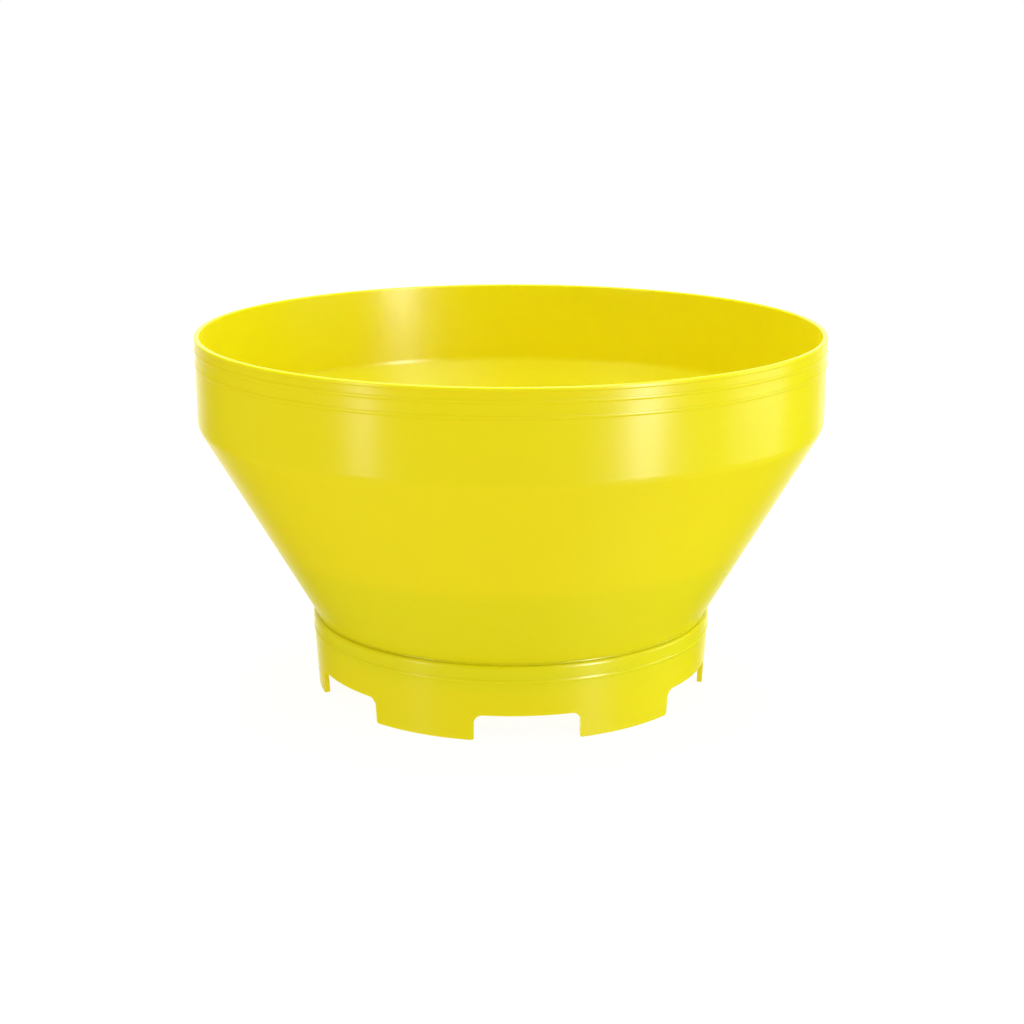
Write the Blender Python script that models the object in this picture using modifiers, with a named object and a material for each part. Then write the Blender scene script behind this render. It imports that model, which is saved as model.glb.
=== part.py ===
"""Wasp trap: the open lower bowl of a dome trap, with its foot ring, bait tray and entrance funnel.

Frame: metres, +Z up, origin on the axis at the underside of the feet. -Y is the front.
Every piece is a turned moulding; the foot ring is then cut by six gateways.
"""
import bmesh
import bpy
from math import atan2, cos, hypot, pi, radians, sin

MM = 0.001

# Driving dimensions, in millimetres
WALL = 1.4              # wall of every moulding
GAP = 0.3               # clearance between neighbouring pieces

RIM_RADIUS = 85.0       # outside of the bowl at its rim
RIM_HEIGHT = 98.3       # rim above the surface that the feet stand on
RIM_LIP = 1.1           # height of the proud lip along the rim
RIM_BEADS = (94.95, 91.2)  # middles of the two fine beads under the lip
FINE_BEAD_WIDTH = 1.0   # fine beads on the bowl and on the foot ring
FINE_BEAD_DEPTH = 0.2   # they stand this proud, as the lip does
BEND_HEIGHT = 74.6      # where the upright drum turns into the cone
BEND_ROUND = 5.0        # outer rounding of that bend
CONE_END_RADIUS = 54.15    # cone where it meets the foot ring
COLLAR_HEIGHT = 20.6    # top of the foot ring

SPIGOT_RADIUS = 53.6    # tube under the cone that the foot ring clips on
SPIGOT_BOTTOM = 14.6
BEAD_HEIGHT = 17.6      # middle of the snap bead on the spigot
BEAD_DEPTH = 0.3
BEAD_WIDTH = 1.6
LIP_RADIUS = 49.5       # inner edge of the lip that carries the bait tray

COLLAR_RADIUS = 55.25   # foot ring at its top edge
COLLAR_ROUND = 0.9      # rounding of that edge
COLLAR_BEAD = 16.3      # middle of the fine bead round the foot ring
FOOT_RADIUS = 54.1      # outside of the feet where they stand
RIB_RADIUS = 51.6       # inner edge of the rib that carries the spigot
RIB_TOP = 14.3
RIB_BOTTOM = 13.1

GATEWAYS = 6
GATEWAY_WIDTH = 27.5
GATEWAY_HEIGHT = 7.0
GATEWAY_ROUND = 2.2     # upper corners of a gateway
FOOT_ROUND = 0.6        # lower corners of a foot
GATEWAY_CUT_DEPTH = 12.0   # radial length of the cutter that opens a gateway
FIRST_GATEWAY = radians(4.6)   # from the front towards +X

TRAY_RIM_HEIGHT = 44.0
TRAY_SIDE_GAP = 0.6     # between the tray's sloping side and the bowl
CHIMNEY_RADIUS = 33.4   # outside of the tray's chimney
CHIMNEY_TOP = 40.0

PLUG_BOTTOM = 35.0      # lower end of the funnel's plug in the chimney
BRIM_RADIUS = 35.6      # funnel's brim over the top of the chimney
SHOULDER_RADIUS = 33.0  # cone where it meets the brim
THROAT_RADIUS = 12.0    # outside of the funnel's neck
NECK_BOTTOM = 61.0
NECK_TOP = 67.0

SEGMENTS = 60           # sides of each turned piece
ARC_TURN = radians(45)  # a rounded corner has a point about every so much turn
ARC_LENGTH = 1.0        # and about every so many millimetres

YELLOW = (0.83, 0.68, 0.005, 1.0)
DEEP_YELLOW = (0.80, 0.62, 0.005, 1.0)


def clear_scene():
    for obj in list(bpy.data.objects):
        bpy.data.objects.remove(obj, do_unlink=True)


def make_collection(name):
    collection = bpy.data.collections.new(name)
    bpy.context.scene.collection.children.link(collection)
    return collection


def plastic(name, colour, roughness):
    material = bpy.data.materials.new(name)
    material.use_nodes = True
    shader = material.node_tree.nodes["Principled BSDF"]
    shader.inputs["Base Color"].default_value = colour
    shader.inputs["Roughness"].default_value = roughness
    shader.inputs["Metallic"].default_value = 0.0
    return material


def rounded(corners):
    """Closed outline through (a, b, rounding) corners, each rounding made as an arc."""
    outline = []
    count = len(corners)
    for index, (a, b, rounding) in enumerate(corners):
        if not rounding:
            outline.append((a, b))
            continue
        before = corners[index - 1]
        after = corners[(index + 1) % count]
        way_in = atan2(b - before[1], a - before[0])
        way_out = atan2(after[1] - b, after[0] - a)
        turn = (way_out - way_in + pi) % (2 * pi) - pi
        setback = rounding * abs(sin(turn / 2) / cos(turn / 2))
        side = 1 if turn > 0 else -1
        centre_a = a - setback * cos(way_in) - side * rounding * sin(way_in)
        centre_b = b - setback * sin(way_in) + side * rounding * cos(way_in)
        pieces = max(1, round(abs(turn) / ARC_TURN), round(abs(turn) * rounding / ARC_LENGTH))
        for step in range(pieces + 1):
            heading = way_in + turn * step / pieces
            outline.append((centre_a + side * rounding * sin(heading),
                            centre_b - side * rounding * cos(heading)))
    return outline


def turned(name, corners, material, collection):
    """Solid of revolution about Z from a closed outline of (radius, height, rounding) in millimetres."""
    outline = rounded(corners)
    points = [(radius * MM, 0.0, height * MM) for radius, height in outline]
    edges = [(index, (index + 1) % len(points)) for index in range(len(points))]
    mesh = bpy.data.meshes.new(name)
    mesh.from_pydata(points, edges, [])
    piece = bpy.data.objects.new(name, mesh)
    collection.objects.link(piece)
    piece.data.materials.append(material)
    screw = piece.modifiers.new("turn", "SCREW")
    screw.axis = "Z"
    screw.angle = 2 * pi
    screw.steps = SEGMENTS
    screw.render_steps = SEGMENTS
    screw.use_merge_vertices = True
    screw.merge_threshold = 0.00001
    return piece


def smooth(piece):
    """Turn the evaluated shape into the piece's own mesh and shade its round faces smooth."""
    graph = bpy.context.evaluated_depsgraph_get()
    mesh = bpy.data.meshes.new_from_object(piece.evaluated_get(graph))
    piece.modifiers.clear()
    piece.data = mesh
    mesh.shade_smooth()
    mesh.set_sharp_from_angle(angle=radians(30))


def drum_radius():
    """Outside of the bowl's upright wall."""
    return RIM_RADIUS - FINE_BEAD_DEPTH


def cone_end_height():
    return COLLAR_HEIGHT + GAP


def cone_slope():
    """Millimetres of radius that the bowl's cone gains per millimetre of height."""
    return (drum_radius() - CONE_END_RADIUS) / (BEND_HEIGHT - cone_end_height())


def cone_radius(height, inset):
    """Radius at a height of the cone's outer face moved inwards by inset, square to the face."""
    sideways = inset * hypot(1.0, cone_slope())
    return CONE_END_RADIUS + (height - cone_end_height()) * cone_slope() - sideways


def cone_height(radius, inset):
    """Height at which that moved face has a radius."""
    return cone_end_height() + (radius - cone_radius(cone_end_height(), inset)) / cone_slope()


def bead_points(radius, clearance):
    """Snap bead on the spigot from top to bottom, or the groove round it with some clearance."""
    foot = BEAD_WIDTH / 2 + clearance
    crest = BEAD_WIDTH / 5 + clearance / 2
    return [(radius, BEAD_HEIGHT + foot, 0), (radius + BEAD_DEPTH, BEAD_HEIGHT + crest, 0),
            (radius + BEAD_DEPTH, BEAD_HEIGHT - crest, 0), (radius, BEAD_HEIGHT - foot, 0)]


def fine_bead(radius, height):
    """Fine raised bead round an outer wall, from top to bottom."""
    foot = FINE_BEAD_WIDTH / 2
    crest = FINE_BEAD_WIDTH / 5
    return [(radius, height + foot, 0), (radius + FINE_BEAD_DEPTH, height + crest, 0),
            (radius + FINE_BEAD_DEPTH, height - crest, 0), (radius, height - foot, 0)]


def make_bowl_shell(material, collection):
    drum = drum_radius()
    lip_bottom = RIM_HEIGHT - RIM_LIP
    corners = [(RIM_RADIUS - WALL, RIM_HEIGHT, 0.4), (RIM_RADIUS, RIM_HEIGHT, 0.5),
               (RIM_RADIUS, lip_bottom + FINE_BEAD_DEPTH, 0), (drum, lip_bottom, 0)]
    for height in RIM_BEADS:
        corners += fine_bead(drum, height)
    corners += [(drum, BEND_HEIGHT, BEND_ROUND),
                (CONE_END_RADIUS, cone_end_height(), 0),
                (SPIGOT_RADIUS, cone_end_height(), 0)]
    corners += bead_points(SPIGOT_RADIUS, 0)
    inner_spigot = SPIGOT_RADIUS - WALL
    corners += [(SPIGOT_RADIUS, SPIGOT_BOTTOM, 0.4),
                (LIP_RADIUS, SPIGOT_BOTTOM, 0),
                (LIP_RADIUS, SPIGOT_BOTTOM + WALL, 0),
                (inner_spigot, SPIGOT_BOTTOM + WALL, 0),
                (inner_spigot, cone_height(inner_spigot, WALL), 0)]
    inner_drum = drum - WALL
    corners.append((inner_drum, cone_height(inner_drum, WALL), BEND_ROUND - WALL))
    return turned("bowl_shell", corners, material, collection)


def gateway_outline():
    """Gateway seen from outside: x across, y up, its sides flaring round the lower corners of the feet."""
    half = GATEWAY_WIDTH / 2
    below = -2.0
    flare = half + FOOT_ROUND
    return rounded([(-flare, below, 0), (flare, below, 0), (flare, 0, 0), (half, FOOT_ROUND, 0),
                    (half, GATEWAY_HEIGHT, GATEWAY_ROUND), (-half, GATEWAY_HEIGHT, GATEWAY_ROUND),
                    (-half, FOOT_ROUND, 0), (-flare, 0, 0)])


def make_gateway_cutter(name, angle, collection):
    """Prism through the foot ring's wall at an angle from the front."""
    curve = bpy.data.curves.new(name, "CURVE")
    curve.dimensions = "2D"
    curve.fill_mode = "BOTH"
    curve.extrude = GATEWAY_CUT_DEPTH / 2 * MM
    outline = gateway_outline()
    spline = curve.splines.new("POLY")
    spline.points.add(len(outline) - 1)
    for point, (across, up) in zip(spline.points, outline):
        point.co = (across * MM, up * MM, 0.0, 1.0)
    spline.use_cyclic_u = True
    flat = bpy.data.objects.new(name, curve)
    collection.objects.link(flat)
    graph = bpy.context.evaluated_depsgraph_get()
    mesh = bpy.data.meshes.new_from_object(flat.evaluated_get(graph))
    bpy.data.objects.remove(flat, do_unlink=True)
    weld(mesh)
    cutter = bpy.data.objects.new(name, mesh)
    collection.objects.link(cutter)
    cutter.location = (FOOT_RADIUS * sin(angle) * MM, -FOOT_RADIUS * cos(angle) * MM, 0.0)
    cutter.rotation_euler = (radians(90), 0.0, angle)
    cutter.hide_render = True
    cutter.display_type = "WIRE"
    return cutter


def weld(mesh):
    shape = bmesh.new()
    shape.from_mesh(mesh)
    bmesh.ops.remove_doubles(shape, verts=shape.verts, dist=0.000001)
    shape.to_mesh(mesh)
    shape.free()


def ring_radius(height):
    """Outside of the foot ring, which narrows evenly towards its feet."""
    return FOOT_RADIUS + (COLLAR_RADIUS - FOOT_RADIUS) * height / COLLAR_HEIGHT


def make_foot_ring(material, collection, cutters):
    bore = SPIGOT_RADIUS + GAP
    corners = [(bore, COLLAR_HEIGHT, 0), (COLLAR_RADIUS, COLLAR_HEIGHT, COLLAR_ROUND)]
    corners += fine_bead(ring_radius(COLLAR_BEAD), COLLAR_BEAD)
    corners += [(FOOT_RADIUS, 0.0, 0), (FOOT_RADIUS - WALL, 0.0, 0),
                (ring_radius(RIB_BOTTOM) - WALL, RIB_BOTTOM, 0), (RIB_RADIUS, RIB_BOTTOM, 0),
                (RIB_RADIUS, RIB_TOP, 0), (bore, RIB_TOP, 0)]
    corners += reversed(bead_points(bore, GAP))
    ring = turned("foot_ring", corners, material, collection)
    for index in range(GATEWAYS):
        angle = FIRST_GATEWAY + index * 2 * pi / GATEWAYS
        cut = ring.modifiers.new(f"gateway_{index + 1}", "BOOLEAN")
        cut.object = make_gateway_cutter(f"gateway_cutter_{index + 1}", angle, cutters)
        cut.operation = "DIFFERENCE"
        cut.solver = "EXACT"
    return ring


def make_bait_tray(material, collection):
    bottom = SPIGOT_BOTTOM + WALL + GAP
    outset = WALL + TRAY_SIDE_GAP
    base_radius = SPIGOT_RADIUS - outset
    inset = outset + WALL
    floor_radius = base_radius - WALL
    corners = [(cone_radius(TRAY_RIM_HEIGHT, inset), TRAY_RIM_HEIGHT, 0.4),
               (cone_radius(TRAY_RIM_HEIGHT, outset), TRAY_RIM_HEIGHT, 0.4),
               (base_radius, cone_height(base_radius, outset), 0),
               (base_radius, bottom, 0.5),
               (CHIMNEY_RADIUS - WALL, bottom, 0.5),
               (CHIMNEY_RADIUS - WALL, CHIMNEY_TOP, 0),
               (CHIMNEY_RADIUS, CHIMNEY_TOP, 0),
               (CHIMNEY_RADIUS, bottom + WALL, 1.5),
               (floor_radius, bottom + WALL, 1.0),
               (floor_radius, cone_height(floor_radius, inset), 0)]
    return turned("bait_tray", corners, material, collection)


def make_entrance_funnel(material, collection):
    plug = CHIMNEY_RADIUS - WALL - GAP
    brim_bottom = CHIMNEY_TOP + GAP
    brim_top = brim_bottom + WALL
    slope = (SHOULDER_RADIUS - THROAT_RADIUS) / (NECK_BOTTOM - brim_top)
    inner_shoulder = SHOULDER_RADIUS - WALL * hypot(1.0, slope)
    inner_throat = THROAT_RADIUS - WALL
    inner_plug = plug - WALL

    def inner_height(radius):
        return brim_top + (inner_shoulder - radius) / slope

    corners = [(inner_throat, NECK_TOP, 0.4), (THROAT_RADIUS, NECK_TOP, 0.4),
               (THROAT_RADIUS, NECK_BOTTOM, 2.0), (SHOULDER_RADIUS, brim_top, 0),
               (BRIM_RADIUS, brim_top, 0.4), (BRIM_RADIUS, brim_bottom, 0.4),
               (plug, brim_bottom, 0), (plug, PLUG_BOTTOM, 0.4),
               (inner_plug, PLUG_BOTTOM, 0.4), (inner_plug, inner_height(inner_plug), 1.0),
               (inner_throat, inner_height(inner_throat), 2.0)]
    return turned("entrance_funnel", corners, material, collection)


def main():
    clear_scene()
    parts = make_collection("wasp_trap")
    cutters = make_collection("cutters")
    pieces = [
        make_bowl_shell(plastic("bowl_plastic", YELLOW, 0.3), parts),
        make_foot_ring(plastic("ring_plastic", YELLOW, 0.3), parts, cutters),
        make_bait_tray(plastic("tray_plastic", DEEP_YELLOW, 0.35), parts),
        make_entrance_funnel(plastic("funnel_plastic", DEEP_YELLOW, 0.35), parts),
    ]
    for piece in pieces:
        smooth(piece)


main()
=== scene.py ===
"""Looks of the wasp trap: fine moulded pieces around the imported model, studio light and camera."""
from math import asin, atan2, cos, hypot, pi, radians, sin

import bmesh
import bpy
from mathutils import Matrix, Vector


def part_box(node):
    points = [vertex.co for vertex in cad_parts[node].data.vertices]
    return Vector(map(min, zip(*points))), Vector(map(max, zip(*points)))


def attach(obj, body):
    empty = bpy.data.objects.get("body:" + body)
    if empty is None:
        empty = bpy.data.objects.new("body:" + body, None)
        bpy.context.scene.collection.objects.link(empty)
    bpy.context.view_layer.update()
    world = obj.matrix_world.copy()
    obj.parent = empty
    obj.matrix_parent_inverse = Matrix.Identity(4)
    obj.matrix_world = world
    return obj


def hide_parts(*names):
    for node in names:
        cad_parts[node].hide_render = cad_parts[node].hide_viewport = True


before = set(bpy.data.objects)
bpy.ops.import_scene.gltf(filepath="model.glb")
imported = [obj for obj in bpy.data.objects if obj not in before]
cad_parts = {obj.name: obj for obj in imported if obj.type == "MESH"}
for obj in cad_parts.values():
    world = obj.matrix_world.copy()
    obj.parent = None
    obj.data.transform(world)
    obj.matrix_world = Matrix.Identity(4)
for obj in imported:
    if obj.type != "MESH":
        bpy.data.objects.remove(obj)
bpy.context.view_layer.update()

MM = 0.001

# Sizes in millimetres that the frame gives
bowl_low, bowl_high = (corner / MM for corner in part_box("bowl_shell"))
ring_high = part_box("foot_ring")[1] / MM
tray_low, tray_high = (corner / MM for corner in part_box("bait_tray"))
funnel_low, funnel_high = (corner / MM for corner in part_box("entrance_funnel"))

RIM_RADIUS = bowl_high.x
RIM_HEIGHT = bowl_high.z
SPIGOT_BOTTOM = bowl_low.z
COLLAR_HEIGHT = ring_high.z
TRAY_BOTTOM = tray_low.z
TRAY_RIM_HEIGHT = tray_high.z
PLUG_BOTTOM = funnel_low.z
NECK_TOP = funnel_high.z
BRIM_RADIUS = funnel_high.x

# Sizes in millimetres that the frame's boxes don't give, as they are in the CAD model
WALL = 1.4
GAP = 0.3
RIM_LIP = 1.1
RIM_BEADS = (94.95, 91.2)
FINE_BEAD_WIDTH = 1.0
FINE_BEAD_DEPTH = 0.2
BEND_HEIGHT = 74.6
BEND_ROUND = 5.0
CONE_END_RADIUS = 54.15
CONE_FOOT_ROUND = 0.35
SPIGOT_RADIUS = 53.6
BEAD_HEIGHT = 17.6
BEAD_DEPTH = 0.3
BEAD_WIDTH = 1.6
LIP_RADIUS = 49.5
COLLAR_RADIUS = 55.25
COLLAR_ROUND = 0.9
COLLAR_BEAD = 16.3
FOOT_RADIUS = 54.1
RIB_RADIUS = 51.6
RIB_TOP = 14.3
RIB_BOTTOM = 13.1
GATEWAYS = 6
GATEWAY_WIDTH = 27.5
GATEWAY_HEIGHT = 7.0
GATEWAY_ROUND = 2.2
FOOT_ROUND = 0.6
FIRST_GATEWAY = radians(4.6)
TRAY_SIDE_GAP = 0.6
CHIMNEY_RADIUS = 33.4
CHIMNEY_TOP = 40.0
SHOULDER_RADIUS = 33.0
THROAT_RADIUS = 12.0
NECK_BOTTOM = 61.0

SEAT_HEIGHT = COLLAR_HEIGHT + 0.03   # the bowl's cone sits down on the ring

# Light, as radiance: 1 is the white of the picture. The gleams are seen only as reflections
WHITE = (1.0, 1.0, 1.0)
COOL = (0.8, 1.0, 0.95)
COOL_TOP = (0.8, 1.0, 0.85)
ROOM_LIGHT = (0.66, 0.71, 0.68)
ROOM_MIRRORED = 0.03
WALL_MIRRORED = 1.5
KEY_GLEAM = 90.0
STRIP_GLEAM = 130.0
TOP_GLEAM = 10.0
HIGH_LEFT_LIGHT = 1.6
TOP_LIGHT = 7.2
HIGH_RIGHT_LIGHT = 3.2
SIDE_RIGHT_LIGHT = 5.0
KEY_AZIMUTH = 45.8
STRIP_AZIMUTH = -50.8
SOFTBOX_DISTANCE = 1.6
KEY_SIZE = (0.3, 0.85)
STRIP_SIZE = (0.2, 0.12)
FLOOR_SIZE = 20.0
FLOOR_PAPER = (0.12, 0.12, 0.12)
FLOOR_GLOW = 0.92

# The photograph's viewpoint: place in metres, tilt down in radians, lens in millimetres
CAMERA_SIDE = 0.0003
CAMERA_FRONT = -0.5114
CAMERA_ABOVE_RIM = 83.3
CAMERA_TILT = 0.258
CAMERA_LENS = 66.9

# Fineness of the meshes
SEGMENTS = 240
ARC_TURN = radians(15)
GATEWAY_COLUMNS = 18
FOOT_COLUMNS = 22
EDGE_ROUND = 0.22


def rounded(corners, closed=True):
    """Outline through (a, b, rounding) corners, each rounding made as an arc."""
    outline = []
    count = len(corners)
    for index, (a, b, rounding) in enumerate(corners):
        at_end = not closed and index in (0, count - 1)
        if not rounding or at_end:
            outline.append((a, b))
            continue
        before = corners[index - 1]
        after = corners[(index + 1) % count]
        way_in = atan2(b - before[1], a - before[0])
        way_out = atan2(after[1] - b, after[0] - a)
        turn = (way_out - way_in + pi) % (2 * pi) - pi
        setback = rounding * abs(sin(turn / 2) / cos(turn / 2))
        side = 1 if turn > 0 else -1
        centre_a = a - setback * cos(way_in) - side * rounding * sin(way_in)
        centre_b = b - setback * sin(way_in) + side * rounding * cos(way_in)
        pieces = max(2, round(abs(turn) / ARC_TURN))
        for step in range(pieces + 1):
            heading = way_in + turn * step / pieces
            outline.append((centre_a + side * rounding * sin(heading),
                            centre_b - side * rounding * cos(heading)))
    return outline


def place(radius, angle, height):
    """Point in metres at an angle from the front (-Y) towards +X."""
    return radius * sin(angle) * MM, -radius * cos(angle) * MM, height * MM


def add_object(name, shape):
    bmesh.ops.recalc_face_normals(shape, faces=shape.faces)
    mesh = bpy.data.meshes.new(name)
    shape.to_mesh(mesh)
    shape.free()
    mesh.shade_smooth()
    piece = bpy.data.objects.new(name, mesh)
    bpy.context.scene.collection.objects.link(piece)
    return piece


def even_normals(piece):
    """Large faces keep flat shading beside small roundings."""
    normals = piece.modifiers.new("even_normals", "WEIGHTED_NORMAL")
    normals.mode = "FACE_AREA"
    normals.weight = 50
    normals.keep_sharp = True


def turned(name, corners):
    """Closed ring-shaped solid of revolution from an outline of (radius, height, rounding)."""
    outline = rounded(corners)
    shape = bmesh.new()
    columns = []
    for column in range(SEGMENTS):
        angle = 2 * pi * column / SEGMENTS
        columns.append([shape.verts.new(place(radius, angle, height)) for radius, height in outline])
    for column, here in enumerate(columns):
        there = columns[(column + 1) % SEGMENTS]
        for index in range(len(outline)):
            after = (index + 1) % len(outline)
            shape.faces.new((here[index], there[index], there[after], here[after]))
    piece = add_object(name, shape)
    even_normals(piece)
    return piece


def drum_radius():
    return RIM_RADIUS - FINE_BEAD_DEPTH


def cone_end_height():
    return COLLAR_HEIGHT + GAP


def cone_slope():
    return (drum_radius() - CONE_END_RADIUS) / (BEND_HEIGHT - cone_end_height())


def cone_radius(height, inset):
    """Radius of the bowl's cone at a height, its outer face moved inwards by inset."""
    sideways = inset * hypot(1.0, cone_slope())
    return CONE_END_RADIUS + (height - cone_end_height()) * cone_slope() - sideways


def cone_height(radius, inset):
    return cone_end_height() + (radius - cone_radius(cone_end_height(), inset)) / cone_slope()


def bead_points(radius, clearance):
    foot = BEAD_WIDTH / 2 + clearance
    crest = BEAD_WIDTH / 5 + clearance / 2
    return [(radius, BEAD_HEIGHT + foot, 0), (radius + BEAD_DEPTH, BEAD_HEIGHT + crest, 0.2),
            (radius + BEAD_DEPTH, BEAD_HEIGHT - crest, 0.2), (radius, BEAD_HEIGHT - foot, 0)]


def fine_bead(radius, height):
    """Fine raised bead round an outer wall, from top to bottom."""
    foot = FINE_BEAD_WIDTH / 2
    crest = FINE_BEAD_WIDTH / 5
    return [(radius, height + foot, 0.15), (radius + FINE_BEAD_DEPTH, height + crest, 0.3),
            (radius + FINE_BEAD_DEPTH, height - crest, 0.3), (radius, height - foot, 0.15)]


def make_bowl():
    drum = drum_radius()
    lip_bottom = RIM_HEIGHT - RIM_LIP
    corners = [(RIM_RADIUS - WALL, RIM_HEIGHT, 0.45), (RIM_RADIUS, RIM_HEIGHT, 0.45),
               (RIM_RADIUS, lip_bottom + FINE_BEAD_DEPTH, 0.2), (drum, lip_bottom, 0.1)]
    for height in RIM_BEADS:
        corners += fine_bead(drum, height)
    cone_foot = cone_radius(SEAT_HEIGHT, 0)
    corners += [(drum, BEND_HEIGHT, BEND_ROUND),
                (cone_foot, SEAT_HEIGHT + 0.1, CONE_FOOT_ROUND),
                (cone_foot + 0.55, SEAT_HEIGHT, 0),
                (SPIGOT_RADIUS, SEAT_HEIGHT, 0)]
    corners += bead_points(SPIGOT_RADIUS, 0)
    inner_spigot = SPIGOT_RADIUS - WALL
    corners += [(SPIGOT_RADIUS, SPIGOT_BOTTOM, 0.4),
                (LIP_RADIUS, SPIGOT_BOTTOM, 0.4),
                (LIP_RADIUS, SPIGOT_BOTTOM + WALL, 0.4),
                (inner_spigot, SPIGOT_BOTTOM + WALL, 0.4),
                (inner_spigot, cone_height(inner_spigot, WALL), 2.0)]
    inner_drum = drum - WALL
    corners.append((inner_drum, cone_height(inner_drum, WALL), BEND_ROUND - WALL))
    return turned("bowl", corners)


def make_tray():
    outset = WALL + TRAY_SIDE_GAP
    inset = outset + WALL
    base_radius = SPIGOT_RADIUS - outset
    floor_radius = base_radius - WALL
    floor = TRAY_BOTTOM + WALL
    corners = [(cone_radius(TRAY_RIM_HEIGHT, inset), TRAY_RIM_HEIGHT, 0.5),
               (cone_radius(TRAY_RIM_HEIGHT, outset), TRAY_RIM_HEIGHT, 0.5),
               (base_radius, cone_height(base_radius, outset), 2.0),
               (base_radius, TRAY_BOTTOM, 0.5),
               (CHIMNEY_RADIUS - WALL, TRAY_BOTTOM, 0.5),
               (CHIMNEY_RADIUS - WALL, CHIMNEY_TOP, 0.4),
               (CHIMNEY_RADIUS, CHIMNEY_TOP, 0.4),
               (CHIMNEY_RADIUS, floor, 1.5),
               (floor_radius, floor, 1.0),
               (floor_radius, cone_height(floor_radius, inset), 2.0)]
    return turned("tray", corners)


def make_funnel():
    plug = CHIMNEY_RADIUS - WALL - GAP
    brim_bottom = CHIMNEY_TOP + GAP
    brim_top = brim_bottom + WALL
    slope = (SHOULDER_RADIUS - THROAT_RADIUS) / (NECK_BOTTOM - brim_top)
    inner_shoulder = SHOULDER_RADIUS - WALL * hypot(1.0, slope)
    inner_throat = THROAT_RADIUS - WALL
    inner_plug = plug - WALL

    def inner_height(radius):
        return brim_top + (inner_shoulder - radius) / slope

    corners = [(inner_throat, NECK_TOP, 0.5), (THROAT_RADIUS, NECK_TOP, 0.5),
               (THROAT_RADIUS, NECK_BOTTOM, 2.0), (SHOULDER_RADIUS, brim_top, 0.5),
               (BRIM_RADIUS, brim_top, 0.5), (BRIM_RADIUS, brim_bottom, 0.5),
               (plug, brim_bottom, 0.2), (plug, PLUG_BOTTOM, 0.5),
               (inner_plug, PLUG_BOTTOM, 0.5), (inner_plug, inner_height(inner_plug), 1.0),
               (inner_throat, inner_height(inner_throat), 2.0)]
    return turned("funnel", corners)


def ring_outer(height):
    """Outside of the foot ring, which narrows evenly towards its feet."""
    return FOOT_RADIUS + (COLLAR_RADIUS - FOOT_RADIUS) * height / COLLAR_HEIGHT


def foot_rows():
    """(half width of the gateway, height) down the side of a gateway, from its roof to the foot."""
    half = GATEWAY_WIDTH / 2
    rows = []
    pieces = 8
    for step in range(pieces + 1):
        turn = pi / 2 * step / pieces
        rows.append((half - GATEWAY_ROUND * (1 - sin(turn)),
                     GATEWAY_HEIGHT - GATEWAY_ROUND * (1 - cos(turn))))
    straight = GATEWAY_HEIGHT - GATEWAY_ROUND - FOOT_ROUND
    for step in (1, 2, 3):
        rows.append((half, GATEWAY_HEIGHT - GATEWAY_ROUND - straight * step / 4))
    pieces = 5
    for step in range(pieces + 1):
        turn = pi / 2 * step / pieces
        rows.append((half + FOOT_ROUND * (1 - cos(turn)), FOOT_ROUND * (1 - sin(turn))))
    return rows


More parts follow.
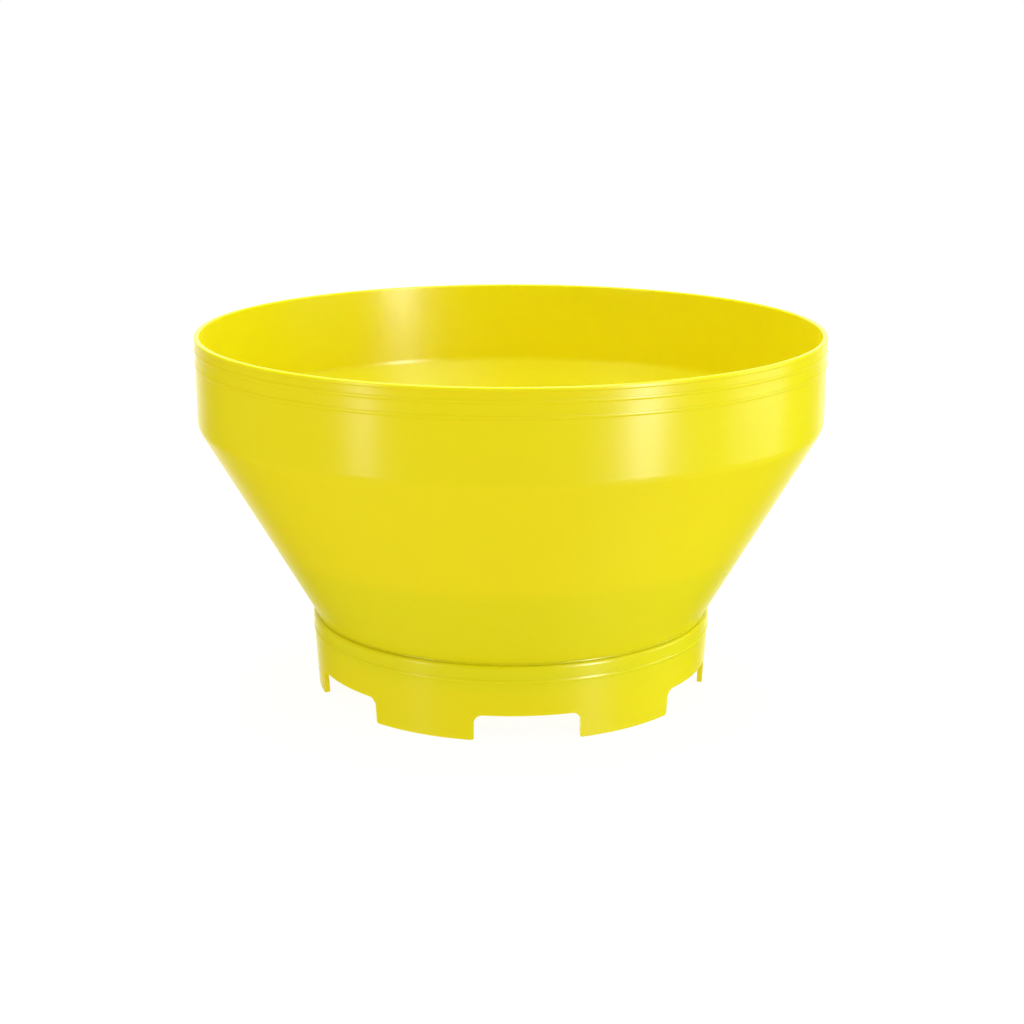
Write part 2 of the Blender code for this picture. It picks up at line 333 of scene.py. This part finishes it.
def make_foot_ring():
    """The castellated ring: a turned upper part, and six feet that grow out of its lower edge."""
    bore = SPIGOT_RADIUS + GAP
    roof_half = GATEWAY_WIDTH / 2 - GATEWAY_ROUND
    outer = [(ring_outer(GATEWAY_HEIGHT), GATEWAY_HEIGHT, 0)]
    outer += reversed(fine_bead(ring_outer(COLLAR_BEAD), COLLAR_BEAD))
    outer.append((COLLAR_RADIUS, COLLAR_HEIGHT, COLLAR_ROUND))
    inner = [(bore, COLLAR_HEIGHT, 0.25)] + bead_points(bore, GAP)
    inner += [(bore, RIB_TOP, 0.2), (RIB_RADIUS, RIB_TOP, 0.3), (RIB_RADIUS, RIB_BOTTOM, 0.3),
              (ring_outer(RIB_BOTTOM) - WALL, RIB_BOTTOM, 0.4),
              (ring_outer(GATEWAY_HEIGHT) - WALL, GATEWAY_HEIGHT, 0)]
    outline = rounded(outer + inner, closed=False)
    shape = bmesh.new()

    def foot_angle(gateway, share, half, radius):
        """Angle across the foot after a gateway: share 0 at that gateway's side, 1 at the next one's."""
        start = gateway + asin(half / radius)
        end = gateway + 2 * pi / GATEWAYS - asin(half / radius)
        return start + (end - start) * share

    columns = []
    feet = []
    for index in range(GATEWAYS):
        gateway = FIRST_GATEWAY + index * 2 * pi / GATEWAYS
        for step in range(1, GATEWAY_COLUMNS):
            across = roof_half * (2 * step / GATEWAY_COLUMNS - 1)
            columns.append([shape.verts.new(place(radius, gateway + asin(across / radius), height))
                            for radius, height in outline])
        feet.append((gateway, len(columns)))
        for step in range(FOOT_COLUMNS + 1):
            share = step / FOOT_COLUMNS
            column = []
            for radius, height in outline:
                angle = foot_angle(gateway, share, roof_half, radius)
                column.append(shape.verts.new(place(radius, angle, height)))
            columns.append(column)
    for number, here in enumerate(columns):
        there = columns[(number + 1) % len(columns)]
        for index in range(len(outline) - 1):
            shape.faces.new((here[index], there[index], there[index + 1], here[index + 1]))

    foot_starts = [start for gateway, start in feet]
    for number, here in enumerate(columns):
        under_a_foot = any(start <= number < start + FOOT_COLUMNS for start in foot_starts)
        if not under_a_foot:
            there = columns[(number + 1) % len(columns)]
            shape.faces.new((here[0], there[0], there[-1], here[-1]))

    rows = foot_rows()[1:]
    for gateway, start in feet:
        above = [(columns[start + step][0], columns[start + step][-1])
                 for step in range(FOOT_COLUMNS + 1)]
        for half, height in rows:
            below = []
            for step in range(FOOT_COLUMNS + 1):
                share = step / FOOT_COLUMNS
                radii = (ring_outer(height), ring_outer(height) - WALL)
                pair = []
                for radius in radii:
                    angle = foot_angle(gateway, share, half, radius)
                    pair.append(shape.verts.new(place(radius, angle, height)))
                below.append(pair)
            for step in range(FOOT_COLUMNS):
                for face in (0, 1):
                    shape.faces.new((above[step][face], above[step + 1][face],
                                     below[step + 1][face], below[step][face]))
            for end in (0, FOOT_COLUMNS):
                shape.faces.new((above[end][0], above[end][1], below[end][1], below[end][0]))
            above = below
        for step in range(FOOT_COLUMNS):
            shape.faces.new((above[step][0], above[step + 1][0], above[step + 1][1], above[step][1]))
    ring = add_object("castellated_ring", shape)
    soften = ring.modifiers.new("soften", "BEVEL")
    soften.width = EDGE_ROUND * MM
    soften.segments = 3
    soften.limit_method = "ANGLE"
    soften.angle_limit = radians(50)
    even_normals(ring)
    return ring


def moulded_plastic(name, colour, shade_colour, roughness):
    """Coloured plastic, a little translucent, with faint flow marks and a fine grain.

    Its gloss draws highlights out along the height of the wall, as marks running round the axis would.
    """
    material = bpy.data.materials.new(name)
    material.use_nodes = True
    tree = material.node_tree
    nodes, links = tree.nodes, tree.links
    shader = nodes["Principled BSDF"]
    shader.inputs["Metallic"].default_value = 0.0
    shader.inputs["IOR"].default_value = 1.49
    shader.inputs["Subsurface Weight"].default_value = 0.3
    shader.inputs["Subsurface Radius"].default_value = (1.0, 0.6, 0.1)
    shader.inputs["Subsurface Scale"].default_value = 0.003
    shader.inputs["Specular IOR Level"].default_value = 0.2
    shader.inputs["Anisotropic"].default_value = 0.7
    shader.inputs["Anisotropic Rotation"].default_value = 0.25
    around = nodes.new("ShaderNodeTangent")
    around.direction_type = "RADIAL"
    around.axis = "Z"
    links.new(around.outputs["Tangent"], shader.inputs["Tangent"])

    coordinates = nodes.new("ShaderNodeTexCoord")

    flow = nodes.new("ShaderNodeTexNoise")
    flow.inputs["Scale"].default_value = 28.0
    flow.inputs["Detail"].default_value = 3.0
    links.new(coordinates.outputs["Object"], flow.inputs["Vector"])
    tint = nodes.new("ShaderNodeMix")
    tint.data_type = "RGBA"
    tint.inputs["A"].default_value = colour
    tint.inputs["B"].default_value = shade_colour
    links.new(flow.outputs["Fac"], tint.inputs["Factor"])
    links.new(tint.outputs["Result"], shader.inputs["Base Color"])

    cloud = nodes.new("ShaderNodeTexNoise")
    cloud.inputs["Scale"].default_value = 90.0
    cloud.inputs["Detail"].default_value = 5.0
    links.new(coordinates.outputs["Object"], cloud.inputs["Vector"])
    gloss = nodes.new("ShaderNodeMapRange")
    gloss.inputs["To Min"].default_value = roughness - 0.04
    gloss.inputs["To Max"].default_value = roughness + 0.06
    links.new(cloud.outputs["Fac"], gloss.inputs["Value"])
    links.new(gloss.outputs["Result"], shader.inputs["Roughness"])

    grain = nodes.new("ShaderNodeTexNoise")
    grain.inputs["Scale"].default_value = 2200.0
    grain.inputs["Detail"].default_value = 2.0
    links.new(coordinates.outputs["Object"], grain.inputs["Vector"])
    relief = nodes.new("ShaderNodeBump")
    relief.inputs["Strength"].default_value = 0.06
    relief.inputs["Distance"].default_value = 0.00002
    links.new(grain.outputs["Fac"], relief.inputs["Height"])
    links.new(relief.outputs["Normal"], shader.inputs["Normal"])
    return material


def make_camera():
    """A little above the rim, looking down at the middle of the trap."""
    camera = bpy.data.objects.new("camera", bpy.data.cameras.new("camera"))
    bpy.context.scene.collection.objects.link(camera)
    camera.data.sensor_width = 36.0
    camera.data.lens = CAMERA_LENS
    camera.data.clip_start = 0.01
    camera.data.clip_end = 50.0
    camera.location = (CAMERA_SIDE, CAMERA_FRONT, (RIM_HEIGHT + CAMERA_ABOVE_RIM) * MM)
    camera.rotation_euler = (pi / 2 - CAMERA_TILT, 0.0, 0.0)
    bpy.context.scene.camera = camera


def make_floor():
    """Pale matt paper that glows evenly, so that it stays pale to its far end."""
    shape = bmesh.new()
    bmesh.ops.create_grid(shape, x_segments=1, y_segments=1, size=FLOOR_SIZE)
    floor = add_object("floor", shape)
    paper = bpy.data.materials.new("floor_paper")
    paper.use_nodes = True
    shader = paper.node_tree.nodes["Principled BSDF"]
    shader.inputs["Base Color"].default_value = (*FLOOR_PAPER, 1.0)
    shader.inputs["Roughness"].default_value = 1.0
    shader.inputs["Specular IOR Level"].default_value = 0.0
    shader.inputs["Emission Color"].default_value = (1.0, 1.0, 1.0, 1.0)
    shader.inputs["Emission Strength"].default_value = FLOOR_GLOW
    paper.cycles.emission_sampling = "NONE"
    floor.data.materials.append(paper)
    floor.visible_glossy = False


def area_light(name, place, size, radiance, colour):
    """Area light of (width, height) metres that faces the trap. Its radiance is in the picture's units."""
    light = bpy.data.lights.new(name, "AREA")
    light.shape = "RECTANGLE"
    light.size, light.size_y = size
    light.energy = radiance * pi * light.size * light.size_y
    light.color = colour
    lamp = bpy.data.objects.new(name, light)
    bpy.context.scene.collection.objects.link(lamp)
    lamp.location = place
    lamp.visible_camera = False
    return lamp


def softbox(name, azimuth, size, radiance):
    """Upright box on the floor that the plastic mirrors; azimuth in degrees from the front towards +X."""
    away = Vector((sin(radians(azimuth)), -cos(radians(azimuth)), 0.0))
    width, height = size
    middle = away * SOFTBOX_DISTANCE + Vector((0.0, 0.0, height / 2))
    lamp = area_light(name, middle, (width, height), radiance, WHITE)
    lamp.rotation_euler = away.to_track_quat("Z", "Y").to_euler()
    lamp.visible_diffuse = False


def aimed_light(name, place, size, radiance, colour):
    """Square light round the trap, aimed at the middle of its rim."""
    lamp = area_light(name, place, (size, size), radiance, colour)
    target = Vector((0.0, 0.0, RIM_HEIGHT * MM))
    lamp.rotation_euler = (Vector(place) - target).to_track_quat("Z", "Y").to_euler()
    return lamp


def make_world():
    """White room. The plastic mirrors it dimly, apart from the bright wall behind the trap."""
    world = bpy.data.worlds.new("studio")
    bpy.context.scene.world = world
    world.use_nodes = True
    world.cycles.sampling_method = "NONE"
    nodes, links = world.node_tree.nodes, world.node_tree.links
    path = nodes.new("ShaderNodeLightPath")

    direction = nodes.new("ShaderNodeTexCoord")
    parts = nodes.new("ShaderNodeSeparateXYZ")
    links.new(direction.outputs["Generated"], parts.inputs["Vector"])
    mirrored = nodes.new("ShaderNodeMapRange")
    mirrored.interpolation_type = "SMOOTHSTEP"
    mirrored.inputs["From Min"].default_value = 0.7
    mirrored.inputs["To Min"].default_value = ROOM_MIRRORED
    mirrored.inputs["To Max"].default_value = WALL_MIRRORED
    links.new(parts.outputs["Y"], mirrored.inputs["Value"])

    def mix(factor, first, second):
        node = nodes.new("ShaderNodeMix")
        node.data_type = "RGBA"
        links.new(factor, node.inputs["Factor"])
        for socket, value in (("A", first), ("B", second)):
            if isinstance(value, tuple):
                node.inputs[socket].default_value = (*value, 1.0)
            else:
                links.new(value, node.inputs[socket])
        return node.outputs["Result"]

    seen = mix(path.outputs["Is Glossy Ray"], ROOM_LIGHT, mirrored.outputs["Result"])
    seen = mix(path.outputs["Is Camera Ray"], seen, (1.0, 1.0, 1.0))
    links.new(seen, nodes["Background"].inputs["Color"])


def make_lights():
    make_world()
    softbox("key_right", KEY_AZIMUTH, KEY_SIZE, KEY_GLEAM)
    softbox("strip_left", STRIP_AZIMUTH, STRIP_SIZE, STRIP_GLEAM)
    gleam = aimed_light("key_top", (0.4, -0.48, 1.5), 0.45, TOP_GLEAM, WHITE)
    gleam.visible_diffuse = False
    aimed_light("top", (0.0, 0.2, 0.75), 0.5, TOP_LIGHT, COOL_TOP)
    aimed_light("high_left", (-0.45, -0.3, 0.5), 0.3, HIGH_LEFT_LIGHT, WHITE)
    aimed_light("high_right", (0.45, -0.45, 0.6), 0.3, HIGH_RIGHT_LIGHT, COOL)
    aimed_light("side_right", (0.6, 0.0, 0.12), 0.3, SIDE_RIGHT_LIGHT, COOL)
    bpy.context.scene.view_settings.view_transform = "Standard"


def dress(piece, body, nodes, material):
    piece.data.materials.append(material)
    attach(piece, body)
    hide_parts(nodes)


make_camera()
yellow = (0.83, 0.70, 0.002, 1.0)
yellow_shade = (0.81, 0.675, 0.002, 1.0)
outside = moulded_plastic("yellow_plastic", yellow, yellow_shade, 0.3)
dress(make_bowl(), "bowl", "bowl_shell", outside)
dress(make_foot_ring(), "bowl", "foot_ring", outside)
dress(make_tray(), "tray", "bait_tray", outside)
dress(make_funnel(), "funnel", "entrance_funnel", outside)
make_floor()
make_lights()
